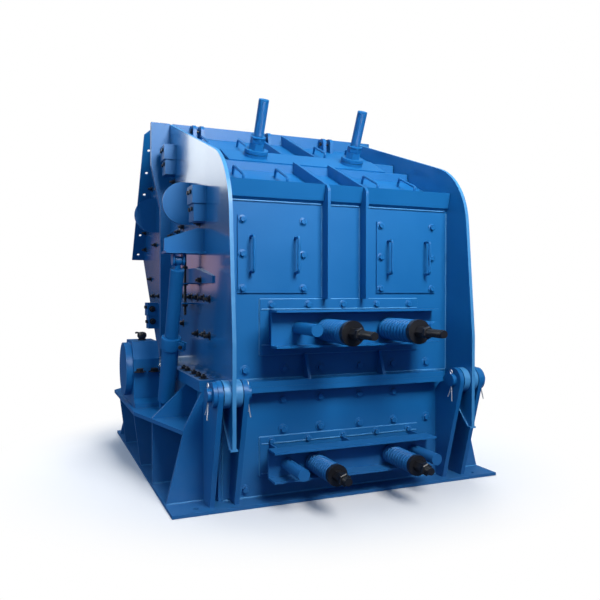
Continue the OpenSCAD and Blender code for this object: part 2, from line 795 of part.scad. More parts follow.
module upper_channel() {
    color(paint) from_rear()
        channel(upper_web_y, upper_depth, upper_z - upper_below, upper_z + upper_above,
                upper_x, upper_z, upper_guide_x, upper_guide_z);
}

module upper_springs() {
    start = upper_cap_y + upper_cap_t + seat;
    color(paint) from_rear() both_sides() translate([upper_x, start, upper_z]) rotate([-90, 0, 0])
        coil(upper_spring_r, upper_wire_r, upper_web_y - start - seat, upper_turns);
}

module upper_spring_rods() {
    color(black) from_rear() both_sides()
        spring_rod(upper_x, upper_z, upper_cap_y, upper_cap_t, upper_spring_r + cap_rim,
                   upper_rod_end, apron_back_y);
}

module upper_guide_bars() {
    color(paint) from_rear() both_sides()
        bar_y(guide_r, upper_guide_x, upper_guide_end, apron_back_y, upper_guide_z);
}

module lower_backing_plate() {
    color(paint) from_rear()
        backing_plate(lower_z - lower_below - backing_rim, lower_z + lower_above + lower_rim,
                      lower_x, lower_z, lower_guide_x, lower_guide_z);
}

module lower_channel() {
    color(paint) from_rear()
        channel(lower_web_y, lower_depth, lower_z - lower_below, lower_z + lower_above,
                lower_x, lower_z, lower_guide_x, lower_guide_z);
}

module lower_springs() {
    start = lower_cap_y + lower_cap_t + seat;
    color(paint) from_rear() both_sides() translate([lower_x, start, lower_z]) rotate([-90, 0, 0])
        coil(lower_spring_r, lower_wire_r, lower_web_y - start - seat, lower_turns);
}

module lower_spring_rods() {
    color(black) from_rear() both_sides()
        spring_rod(lower_x, lower_z, lower_cap_y, lower_cap_t, lower_spring_r + cap_rim,
                   lower_rod_end, liner_back_y);
}

module lower_guide_bars() {
    color(paint) from_rear() both_sides()
        bar_y(guide_r, lower_guide_x, lower_guide_end, liner_back_y, lower_guide_z);
}

// ---------------------------------------------------------------- aprons

apron_back_y = 420;                        // back of the rear apron, where the upper rods end
liner_back_y = 620;                        // back of the lower apron, where the lower rods end
apron_gap = 20;                            // between an apron and each side wall
apron_w = inner_w - apron_gap;             // half width of the aprons
hanger_r = 45;                             // shafts that the aprons hang from
module apron(points, hanger) {
    plate_yz(points, -apron_w, 2 * apron_w);
    bar_x(hanger_r, -inner_w, inner_w, hanger[0], hanger[1]);
}

module lower_apron() {
    color(dark_paint) from_rear()
        apron([[liner_back_y, 120], [830, 120], [760, 420], [700, 640], [liner_back_y, 640]], [660, 580]);
}

module rear_apron() {
    color(dark_paint) from_rear()
        apron([[apron_back_y, 980], [560, 900], [740, 1000], [660, 1300], [560, 1860], [440, 1860],
               [apron_back_y, 1700]], [500, 1820]);
}

module upper_apron() {
    top_z = plate_top(mount_y);
    color(dark_paint) from_rear() {
        apron([[1060, top_z - 641], [1000, top_z - 721], [1100, top_z - 761], [1300, top_z - 481],
               [1480, top_z], [1360, top_z + 79]], [1420, top_z + 49]);
        both_sides() mount_plane() translate([screw_x, 0, -screw_reach - pad_h]) cylinder(r = pad_r, h = pad_h);
    }
}

// ---------------------------------------------------------------- top

mount_y = 762;                             // middle of the raised plate's top face, from the rear
mount_lift = 75;                           // its height above the sloping top plate
mount_z = plate_top(mount_y) + mount_lift;
mount_w = inner_w - 196;                   // half width of the raised plate
mount_back = 135;
mount_front = 125;
mount_t = 16;
beam_w = inner_w - 6;                      // half width of the beams that carry it
beam_rows = [635, 845];                    // rear faces of the beams, from the rear
beam_t = 16;
weld_gap = 0.05;                           // a welded beam's foot stands this far off the sloping plate
screw_reach = 660;                         // how far a screw reaches below the raised plate
pad_r = 50;                                // pad on the upper apron under each screw
pad_h = 105;

// The raised plate's top face as the ground of its own frame
module mount_plane() {
    translate([0, mount_y, mount_z]) rotate([screw_lean, 0, 0]) children();
}

module screw_holes() {
    both_sides() mount_plane() translate([screw_x, 0, -screw_reach])
        cylinder(r = screw_r + rod_play, h = screw_reach + cut);
}

module screw_mount() {
    color(paint) from_rear() difference() {
        union() {
            mount_plane() block([-mount_w, -mount_back, -mount_t], [mount_w, mount_front, 0]);
            for (y = beam_rows) difference() {
                plate_yz([[y, plate_top(y) + weld_gap], [y + beam_t, plate_top(y + beam_t) + weld_gap],
                          [y + beam_t, mount_z + mount_front], [y, mount_z + mount_front]],
                         -beam_w, 2 * beam_w);
                mount_plane() block([-body_w, -2 * mount_back, -mount_t / 2],
                                    [body_w, 2 * mount_front, mount_z]);
                both_sides() block([rib_x - rib_t / 2, y - cut, mount_z / 2],
                                   [rib_x + rib_t / 2, y + beam_t + cut, 2 * mount_z]);
            }
        }
        screw_holes();
    }
}

// Threaded screws with two washers and a hexagon nut on the raised plate
washer_r = 85;
washer_t = 22;
groove_r = 72;                             // between the two washers
groove_t = 5;
nut_r = 58;
nut_h = 46;
screw_out = 400;                           // how far a screw stands out of the raised plate
module adjusting_screws() {
    color(paint) from_rear() both_sides() mount_plane() translate([screw_x, 0, 0]) {
        translate([0, 0, -screw_reach]) cylinder(r = screw_r, h = screw_reach + screw_out);
        cylinder(r = washer_r, h = washer_t);
        translate([0, 0, washer_t]) cylinder(r = groove_r, h = groove_t);
        translate([0, 0, washer_t + groove_t]) cylinder(r = washer_r, h = washer_t);
        translate([0, 0, 2 * washer_t + groove_t]) cylinder(r = nut_r, h = nut_h, $fn = 6);
    }
}

top_handle_l = 235;
handle_rows = [285, 1150];                 // rear legs of the handles, from the rear
handle_x = [178, 478];                     // their distance from the inside of the side walls
module top_handles() {
    color(paint) from_rear() both_sides() for (x = handle_x, y = handle_rows)
        translate([inner_w - x, y, plate_top(y)]) rotate([top_slope, 0, 0]) rotate([0, 0, 90])
            handle(top_handle_l, handle_h);
}

// ---------------------------------------------------------------- side brackets

head_y = 500;                              // jack head pivot
head_z = 1500;
foot_y = 925;                             // jack foot pivot
foot_z = 500;
jack_pin_r = 15;
jack_eye_r = 28;
jack_eye_w = 40;
clevis_t = 16;                             // thickness of the clevis cheeks
clevis_gap = 4;                            // between an eye and a cheek
clevis_r = 32;                             // round end of a cheek
bracket_y = head_y;                        // middle of the bracket's upright plate
bracket_h = 80;                            // height of its outer edge
bracket_root_h = 153;                      // height of its inner edge
bracket_root = 48;                         // width of its flat top
bracket_shelf = 75;                        // half length of the shelf under it
bracket_t = 20;
bracket_low_z = 1545;
bracket_out = 258;                         // how far the bracket stands out of the side plate

// Two cheeks from z = a to the pivot at height z, with the pin through them
module clevis(y, z, a) {
    cheek = jack_eye_w / 2 + clevis_gap;
    for (x = [jack_x - cheek - clevis_t, jack_x + cheek]) {
        block([x, y - clevis_r, min(a, z)], [x + clevis_t, y + clevis_r, max(a, z)]);
        bar_x(clevis_r, x, x + clevis_t, y, z);
    }
    bar_x(jack_pin_r, jack_x - cheek - clevis_t, jack_x + cheek + clevis_t, y, z);
}

module jack_brackets() {
    shelf = 15;
    low = bracket_low_z + shelf;
    outer = half_w + bracket_out;
    color(paint) from_rear() both_sides() {
        plate_xz([[half_w, low], [outer, low], [outer, low + bracket_h],
                  [half_w + bracket_root, low + bracket_root_h], [half_w, low + bracket_root_h]],
                 bracket_y - bracket_t / 2, bracket_t);
        block([half_w, bracket_y - bracket_shelf, bracket_low_z], [outer, bracket_y + bracket_shelf, low]);
        clevis(head_y, head_z, bracket_low_z);
    }
}

module jack_feet() {
    color(paint) from_rear() both_sides() clevis(foot_y, foot_z, shelf_z);
}

// Half-round lifting plate on the right-hand side, with a block below the casing's top corner
ear_r = 150;
lift_t = 20;
lift_neck = 40;                            // straight part between the side plate and the round
module lifting_ear(y, z) {
    translate([0, y + lift_t, z]) rotate([90, 0, 0]) linear_extrude(lift_t) difference() {
        union() {
            translate([half_w, -ear_r]) square([lift_neck, 2 * ear_r]);
            translate([half_w + lift_neck, 0]) circle(r = ear_r);
        }
        translate([half_w - 2 * ear_r, -2 * ear_r]) square([2 * ear_r, 4 * ear_r]);
    }
}

block_out = 90;
block_w = 150;
block_h = 230;
block_step = 10;                           // the lower half of a block is this much smaller all round
module suspension_block(place) {
    y = place[0];
    z = place[1];
    block([half_w, y - block_w / 2, z], [half_w + block_out, y + block_w / 2, z + block_h / 2]);
    block([half_w, y - block_w / 2 + block_step, z - block_h / 2],
          [half_w + block_out - block_step, y + block_w / 2 - block_step, z + cut]);
}

rear_lift = [900, 1927];                   // depth and height of the rear lifting plates
front_lift = [2180, 1980];
rear_blocks = [[500, 1870], [1420, 2325]]; // depth and height of the suspension blocks
front_block = [2180, 1085];
module rear_lifting_ears() {
    color(paint) from_rear() both_sides() {
        lifting_ear(rear_lift[0], rear_lift[1]);
        for (place = rear_blocks) suspension_block(place);
    }
}

module front_lifting_ears() {
    color(paint) from_rear() both_sides() {
        lifting_ear(front_lift[0], front_lift[1]);
        suspension_block(front_block);
    }
}

// ---------------------------------------------------------------- jacks

jack_len = norm([head_y - foot_y, head_z - foot_z]);
jack_lean = atan2(foot_y - head_y, head_z - foot_z);
barrel_low = clevis_r + 6;                 // barrel and tube ends, along the jack from its pivots
barrel_l = 450;
barrel_wall = 5;
tube_low = 80;
tube_top = 60;
tube_wall = 4;
neck_r = 20;
screw_top = 960;
module jack_eye() {
    difference() {
        bar_x(jack_eye_r, -jack_eye_w / 2, jack_eye_w / 2, 0, 0);
        bar_x(jack_pin_r + pin_play, -jack_eye_w, jack_eye_w, 0, 0);
    }
}

// Barrel with its screw, from the foot pivot
module jack_barrel() {
    translate([jack_x, foot_y, foot_z]) rotate([jack_lean, 0, 0]) {
        difference() {
            translate([0, 0, barrel_low]) cylinder(r = jack_barrel_r, h = barrel_l);
            translate([0, 0, barrel_low + neck_r]) cylinder(r = jack_barrel_r - barrel_wall, h = barrel_l);
        }
        translate([0, 0, barrel_low + cut]) cylinder(r = jack_screw_r, h = screw_top - barrel_low);
        jack_eye();
        difference() {
            translate([0, 0, 0]) cylinder(r = neck_r, h = barrel_low + cut);
            bar_x(jack_eye_r - cut, -jack_eye_w, jack_eye_w, 0, 0);
        }
    }
}

// Tube over the screw, from the head pivot downwards
module jack_tube() {
    l = jack_len - tube_low - tube_top;
    translate([jack_x, head_y, head_z]) rotate([jack_lean, 0, 0]) {
        difference() {
            translate([0, 0, -jack_len + tube_low]) cylinder(r = jack_tube_r, h = l);
            translate([0, 0, -jack_len + tube_low - cut])
                cylinder(r = jack_tube_r - tube_wall, h = l - neck_r + cut);
        }
        jack_eye();
        difference() {
            translate([0, 0, -tube_top - cut]) cylinder(r = neck_r, h = tube_top);
            bar_x(jack_eye_r - cut, -jack_eye_w, jack_eye_w, 0, 0);
        }
    }
}

module jack_barrel_right() { color(paint) from_rear() jack_barrel(); }
module jack_barrel_left() { color(paint) mirror([1, 0, 0]) from_rear() jack_barrel(); }
module jack_tube_right() { color(paint) from_rear() jack_tube(); }
module jack_tube_left() { color(paint) mirror([1, 0, 0]) from_rear() jack_tube(); }

base_plate();
base_side_walls();
base_rear_wall();
base_front_wall();
base_split_flange();
bearing_shelf_left();
bearing_shelf_right();
jack_feet();
hinge_lugs();
hinge_pins();
bearing_bases();
bearing_caps();
bearing_covers();
front_side_plates();
front_top_plate();
front_split_flange();
inlet_flange();
feed_plate();
front_lifting_ears();
lower_backing_plate();
lower_channel();
lower_springs();
lower_spring_rods();
lower_guide_bars();
lower_apron();
rotor_shaft();
rotor_body();
blow_bars();
rear_side_plate_left();
rear_side_plate_right();
rear_wall();
rear_top_plate();
rear_ribs();
rear_split_flange();
rear_bottom_flange();
access_doors();
door_handles();
upper_backing_plate();
upper_channel();
upper_springs();
upper_spring_rods();
upper_guide_bars();
screw_mount();
adjusting_screws();
top_handles();
jack_brackets();
rear_lifting_ears();
upper_apron();
rear_apron();
jack_barrel_left();
jack_barrel_right();
jack_tube_left();
jack_tube_right();
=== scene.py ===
"""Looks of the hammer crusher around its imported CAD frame: paint, steel, fasteners, threads,
weld beads and springs. Lengths are in metres. The places of many bolts and nuts were picked by
eye in the photo, and a scratch program projected them onto the faces that they stand on."""
import math

import bpy
from mathutils import Matrix, Vector


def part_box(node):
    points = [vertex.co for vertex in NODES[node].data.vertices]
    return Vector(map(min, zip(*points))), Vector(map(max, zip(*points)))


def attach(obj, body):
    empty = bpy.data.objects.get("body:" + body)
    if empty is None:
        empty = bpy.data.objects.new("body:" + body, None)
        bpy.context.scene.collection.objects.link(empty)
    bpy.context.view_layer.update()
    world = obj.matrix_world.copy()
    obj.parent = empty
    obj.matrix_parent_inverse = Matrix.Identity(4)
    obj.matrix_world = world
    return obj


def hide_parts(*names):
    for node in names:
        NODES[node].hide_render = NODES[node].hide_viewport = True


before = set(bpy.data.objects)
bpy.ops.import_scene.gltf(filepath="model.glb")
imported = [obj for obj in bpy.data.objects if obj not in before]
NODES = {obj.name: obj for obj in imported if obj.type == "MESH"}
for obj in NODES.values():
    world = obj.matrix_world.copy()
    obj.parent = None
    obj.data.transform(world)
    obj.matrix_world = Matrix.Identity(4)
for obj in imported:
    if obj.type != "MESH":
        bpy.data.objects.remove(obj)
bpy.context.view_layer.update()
bpy.context.scene.view_settings.view_transform = "Standard"

SIDES = (-1, 1)                               # left and right, or the two ends of an axis
HANDS = ((-1, "left"), (1, "right"))
OUT, UP, DOWN = (0, -1, 0), (0, 0, 1), (0, 0, -1)         # OUT is the way that the rear wall faces
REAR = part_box("base_plate")[0].y              # rear edge of the base plate, where depths start
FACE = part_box("base_side_walls")[1].x         # outer face of the side plates


# ------------------------------------------------------------------ camera, light and stage

CAMERA_PLACE = (-1.897, -4.857, 1.302)
CAMERA_TURN = (22.936, -0.768, 0.066)         # yaw, pitch and roll in degrees
LENS_MM, SENSOR_MM = 38.49, 36

SKY, SKY_STRENGTH = (0.40, 0.64, 1, 1), 0.42  # lights the object
ROOM = (0.55, 0.80, 1, 1)                     # mirrored in the paint
ROOM_HEIGHT = (0.05, 0.8)                     # the room brightens between these heights of a ray
ROOM_STRENGTH = (0.05, 0.42)

FLOOR_REACH, FLOOR_DROP = 40, 0.001
FLOOR_PALE = (0.93, 0.93, 0.93, 1)            # as the camera sees it
FLOOR_DULL = (0.09, 0.13, 0.22, 1)            # as all other rays see it
FADE = (1.35, 2.3)                            # where the floor's shade starts to go and is gone


def make_camera():
    yaw, pitch, roll = (math.radians(turn) for turn in CAMERA_TURN)
    forward = Vector((math.sin(yaw) * math.cos(pitch), math.cos(yaw) * math.cos(pitch),
                      math.sin(pitch)))
    right = Vector((math.cos(yaw), -math.sin(yaw), 0))
    up = right.cross(forward)
    side = right * math.cos(roll) + up * math.sin(roll)
    top = -right * math.sin(roll) + up * math.cos(roll)
    data = bpy.data.cameras.new("camera")
    data.lens, data.sensor_width = LENS_MM, SENSOR_MM
    data.clip_start, data.clip_end = 0.05, 100
    cam = bpy.data.objects.new("camera", data)
    bpy.context.scene.collection.objects.link(cam)
    rows = [(side[k], top[k], -forward[k], CAMERA_PLACE[k]) for k in range(3)]
    cam.matrix_world = Matrix(rows + [(0, 0, 0, 1)])
    bpy.context.scene.camera = cam


def area_light(name, place, target, size, power, color=(1, 1, 1), tall=None, spread=180,
               mirrored=True):
    data = bpy.data.lights.new(name, "AREA")
    data.shape, data.size, data.size_y = "RECTANGLE", size, tall or size
    data.energy, data.color, data.spread = power, color, math.radians(spread)
    lamp = bpy.data.objects.new(name, data)
    lamp.visible_camera, lamp.visible_glossy = False, mirrored
    lamp.location = place
    aim = Vector(target) - Vector(place)
    lamp.rotation_euler = aim.to_track_quat("-Z", "Y").to_euler()
    bpy.context.scene.collection.objects.link(lamp)


def make_world():
    """White behind the object, a blue-tinted sky that lights it, and a dimmer room, brighter
    overhead, that it mirrors."""
    world = bpy.data.worlds.new("studio")
    bpy.context.scene.world = world
    world.use_nodes = True
    tree = world.node_tree
    tree.nodes.clear()
    node, link = tree.nodes.new, tree.links.new
    light, white, room = (node("ShaderNodeBackground") for _ in range(3))
    light.inputs["Color"].default_value = SKY
    light.inputs["Strength"].default_value = SKY_STRENGTH
    white.inputs["Color"].default_value = (1, 1, 1, 1)
    room.inputs["Color"].default_value = ROOM
    coords = node("ShaderNodeTexCoord")
    split = node("ShaderNodeSeparateXYZ")
    height = node("ShaderNodeMapRange")
    height.inputs["From Min"].default_value, height.inputs["From Max"].default_value = ROOM_HEIGHT
    height.inputs["To Min"].default_value, height.inputs["To Max"].default_value = ROOM_STRENGTH
    path = node("ShaderNodeLightPath")
    mirrored, seen = node("ShaderNodeMixShader"), node("ShaderNodeMixShader")
    out = node("ShaderNodeOutputWorld")
    link(coords.outputs["Generated"], split.inputs[0])
    link(split.outputs["Z"], height.inputs["Value"])
    link(height.outputs[0], room.inputs["Strength"])
    link(path.outputs["Is Glossy Ray"], mirrored.inputs[0])
    link(light.outputs[0], mirrored.inputs[1])
    link(room.outputs[0], mirrored.inputs[2])
    link(path.outputs["Is Camera Ray"], seen.inputs[0])
    link(mirrored.outputs[0], seen.inputs[1])
    link(white.outputs[0], seen.inputs[2])
    link(seen.outputs[0], out.inputs[0])


def make_floor():
    """A pale floor that takes the object's shadow, fades into the white backdrop and throws
    little light back."""
    mesh = bpy.data.meshes.new("floor")
    r = FLOOR_REACH
    mesh.from_pydata([(-r, -r, 0), (r, -r, 0), (r, r, 0), (-r, r, 0)], [], [(0, 1, 2, 3)])
    floor = bpy.data.objects.new("floor", mesh)
    floor.location.z = -FLOOR_DROP
    bpy.context.scene.collection.objects.link(floor)
    mat = bpy.data.materials.new("floor")
    mat.use_nodes = True
    tree = mat.node_tree
    tree.nodes.clear()
    node, link = tree.nodes.new, tree.links.new
    pale, dull = node("ShaderNodeBsdfDiffuse"), node("ShaderNodeBsdfDiffuse")
    pale.inputs["Color"].default_value = FLOOR_PALE
    dull.inputs["Color"].default_value = FLOOR_DULL
    white = node("ShaderNodeEmission")
    coords = node("ShaderNodeTexCoord")
    length = node("ShaderNodeVectorMath")
    length.operation = "LENGTH"
    fade = node("ShaderNodeMapRange")
    fade.interpolation_type = "SMOOTHSTEP"
    fade.inputs["From Min"].default_value, fade.inputs["From Max"].default_value = FADE
    path = node("ShaderNodeLightPath")
    ground, seen = node("ShaderNodeMixShader"), node("ShaderNodeMixShader")
    out = node("ShaderNodeOutputMaterial")
    link(coords.outputs["Object"], length.inputs[0])
    link(length.outputs["Value"], fade.inputs["Value"])
    link(fade.outputs[0], ground.inputs[0])
    link(pale.outputs[0], ground.inputs[1])
    link(white.outputs[0], ground.inputs[2])
    link(path.outputs["Is Camera Ray"], seen.inputs[0])
    link(dull.outputs[0], seen.inputs[1])
    link(ground.outputs[0], seen.inputs[2])
    link(seen.outputs[0], out.inputs[0])
    mesh.materials.append(mat)


# ------------------------------------------------------------------ materials

DUST = (0.35, 0.37, 0.4, 1)
DUST_TOP = 0.5                                # dust thins out up to this height


def surface(name, base, other, rough, metallic=0.0, coat=0.0, coat_rough=0.05, scale=3.0,
            bump=0.1, bump_scale=60.0, rough_spread=0.08, dust=0.0, distance=0.001,
            gloss_level=0.5):
    """Principled material with a slow colour drift, a fine surface relief and, where asked,
    dust that has settled low down."""
    mat = bpy.data.materials.new(name)
    mat.use_nodes = True
    tree = mat.node_tree
    link = tree.links.new
    node = tree.nodes.new
    shader = tree.nodes["Principled BSDF"]
    shader.inputs["Metallic"].default_value = metallic
    shader.inputs["Coat Weight"].default_value = coat
    shader.inputs["Coat Roughness"].default_value = coat_rough
    shader.inputs["Specular IOR Level"].default_value = gloss_level
    coords = node("ShaderNodeTexCoord")

    drift = node("ShaderNodeTexNoise")
    drift.inputs["Scale"].default_value = scale
    drift.inputs["Detail"].default_value = 6
    ramp = node("ShaderNodeMapRange")
    ramp.inputs["From Min"].default_value = 0.25
    ramp.inputs["From Max"].default_value = 0.75
    mix = node("ShaderNodeMix")
    mix.data_type = "RGBA"
    mix.inputs["A"].default_value = (*base, 1)
    mix.inputs["B"].default_value = (*other, 1)
    link(coords.outputs["Object"], drift.inputs["Vector"])
    link(drift.outputs["Fac"], ramp.inputs["Value"])
    link(ramp.outputs[0], mix.inputs["Factor"])
    color = mix.outputs["Result"]

    if dust:
        split = node("ShaderNodeSeparateXYZ")
        link(coords.outputs["Object"], split.inputs[0])
        low = node("ShaderNodeMapRange")
        low.inputs["From Min"].default_value, low.inputs["From Max"].default_value = DUST_TOP, 0.0
        link(split.outputs["Z"], low.inputs["Value"])
        patch = node("ShaderNodeTexNoise")
        patch.inputs["Scale"].default_value = 9
        patch.inputs["Detail"].default_value = 8
        link(coords.outputs["Object"], patch.inputs["Vector"])
        both = node("ShaderNodeMath")
        both.operation = "MULTIPLY"
        link(low.outputs[0], both.inputs[0])
        link(patch.outputs["Fac"], both.inputs[1])
        amount = node("ShaderNodeMath")
        amount.operation = "MULTIPLY"
        amount.inputs[1].default_value = dust
        link(both.outputs[0], amount.inputs[0])
        dusty = node("ShaderNodeMix")
        dusty.data_type = "RGBA"
        dusty.inputs["B"].default_value = DUST
        link(amount.outputs[0], dusty.inputs["Factor"])
        link(color, dusty.inputs["A"])
        color = dusty.outputs["Result"]
    link(color, shader.inputs["Base Color"])

    fine = node("ShaderNodeTexNoise")
    fine.inputs["Scale"].default_value = bump_scale
    fine.inputs["Detail"].default_value = 4
    link(coords.outputs["Object"], fine.inputs["Vector"])
    gloss = node("ShaderNodeMapRange")
    gloss.inputs["To Min"].default_value = max(0.02, rough - rough_spread)
    gloss.inputs["To Max"].default_value = rough + rough_spread
    link(drift.outputs["Fac"], gloss.inputs["Value"])
    link(gloss.outputs[0], shader.inputs["Roughness"])
    relief = node("ShaderNodeBump")
    relief.inputs["Strength"].default_value = bump
    relief.inputs["Distance"].default_value = distance
    link(fine.outputs["Fac"], relief.inputs["Height"])
    link(relief.outputs[0], shader.inputs["Normal"])
    return mat


make_camera()
make_world()
make_floor()
area_light("key", (0.4, -5.6, 5.6), (0, -0.6, 2.9), 2.8, 145, (1, 0.98, 0.95), spread=75)
area_light("fill", (-6.5, -2.5, 3.5), (0, 0, 1.2), 4.0, 90)
# the left side mirrors the next two: a white patch above and a reddish band below
area_light("rear_left", (-3.1, 5.0, 4.5), (-0.84, -0.8, 2.0), 3.0, 9.6, (0.90, 0.96, 1), 3.1, 60)
area_light("rear_low", (-2.6, 5.0, 1.75), (-0.8, 0.0, 1.3), 1.7, 2.4, (1, 0.58, 0.66), 0.9)
area_light("front", (4.0, 6.5, 5.5), (0, 0.5, 1.3), 4.0, 260, mirrored=False)
area_light("top", (0.5, 1.5, 8.0), (0, 0, 1.5), 4.0, 215, mirrored=False)

PAINT, PAINT_DRIFT = (0.0055, 0.118, 0.335), (0.0075, 0.136, 0.375)
BLUE = surface("blue_paint", PAINT, PAINT_DRIFT, 0.42, coat=0.06, coat_rough=0.25,
               bump=0.14, bump_scale=55, dust=0.12, gloss_level=0.3)
PANEL = surface("panel_paint", PAINT, PAINT_DRIFT, 0.26, coat=0.80, coat_rough=0.12,
                bump=0.35, bump_scale=4.5, dust=0.12, rough_spread=0.03, distance=0.006)
# painted highlight: a lighter blue on bevelled edges, the side plates' narrow faces and the weld
# beads, in place of the light that they catch
EDGE_HIGHLIGHT = surface("painted_edge_highlight", (0.034, 0.215, 0.480), (0.060, 0.270, 0.540), 0.46, coat=0.05,
               coat_rough=0.3, bump=0.2, bump_scale=80, scale=12)
BLACK = surface("black_paint", (0.008, 0.008, 0.010), (0.018, 0.018, 0.021), 0.34, coat=0.15,
                coat_rough=0.15, bump=0.25, bump_scale=120)
CAST = surface("cast_steel", (0.13, 0.12, 0.11), (0.24, 0.21, 0.18), 0.55, metallic=0.75, scale=9,
               bump=0.6, bump_scale=45, distance=0.003)
STEEL = surface("shaft_steel", (0.50, 0.51, 0.53), (0.62, 0.63, 0.65), 0.28, metallic=1.0,
                scale=14, bump=0.12, bump_scale=240)
ZINC = surface("bright_zinc", (0.72, 0.74, 0.76), (0.60, 0.62, 0.65), 0.3, metallic=0.6,
               scale=30, bump=0.1, bump_scale=300)

PAINT_OF = {                                  # all other nodes are BLUE
    "rotor_shaft": STEEL,
    "rotor_body": CAST, "blow_bars": CAST,
    "lower_apron": CAST, "rear_apron": CAST, "upper_apron": CAST,
    "upper_spring_rods": BLACK, "lower_spring_rods": BLACK,
    "rear_side_plate_left": PANEL, "rear_side_plate_right": PANEL, "front_side_plates": PANEL,
}
# the wider bevels, on painted nodes, carry the painted edge highlight
BARE_EDGE, PAINTED_EDGE = 0.002, 0.003        # widths of the bevels


def paint_nodes():
    """A material and bevelled edges for each CAD node; on painted nodes the bevels carry the
    painted edge highlight.
    """
    for name, obj in NODES.items():
        obj.data.materials.clear()
        paint = PAINT_OF.get(name, BLUE)
        obj.data.materials.append(paint)
        bevel = obj.modifiers.new("edge", "BEVEL")
        bevel.width, bevel.segments, bevel.limit_method = BARE_EDGE, 2, "ANGLE"
        bevel.angle_limit = math.radians(50)
        bevel.use_clamp_overlap = True
        if paint in (BLUE, PANEL):            # painted highlight: a lighter colour on the bevels along the edges
            obj.data.materials.append(EDGE_HIGHLIGHT)
            bevel.width, bevel.material = PAINTED_EDGE, 1
        if paint is PANEL:                    # the broad sides keep the glossy paint; the narrow faces take the painted highlight colour
            for face in obj.data.polygons:
                face.material_index = int(abs(face.normal.x) < 0.5)


paint_nodes()


# ------------------------------------------------------------------ small solids

def at(x, depth, z):
    """A place given across the rotor, from the rear edge of the base plate, and in height."""
    return Vector((x, REAR + depth, z))


def facing(place, axis, turn=0.0):
    """Matrix that stands a small solid at a place with its own Z along an axis."""
    stand = Vector(axis).to_track_quat("Z", "Y").to_matrix().to_4x4()
    return Matrix.Translation(place) @ stand @ Matrix.Rotation(turn, 4, "Z")


def circle(sides):
    """Cosine and sine of the directions round a full turn."""
    turns = [2 * math.pi * i / sides for i in range(sides)]
    return [(math.cos(a), math.sin(a)) for a in turns]


def caps(rings, sides):
    """Faces that close the first and the last ring of points."""
    last = (rings - 1) * sides
    return [tuple(reversed(range(sides))), tuple(range(last, last + sides))]


def sleeve(rings, sides):
    """Faces of a closed round solid made of rings of points."""
    faces = [(j * sides + i, j * sides + (i + 1) % sides,
              (j + 1) * sides + (i + 1) % sides, (j + 1) * sides + i)
             for j in range(rings - 1) for i in range(sides)]
    return faces + caps(rings, sides)


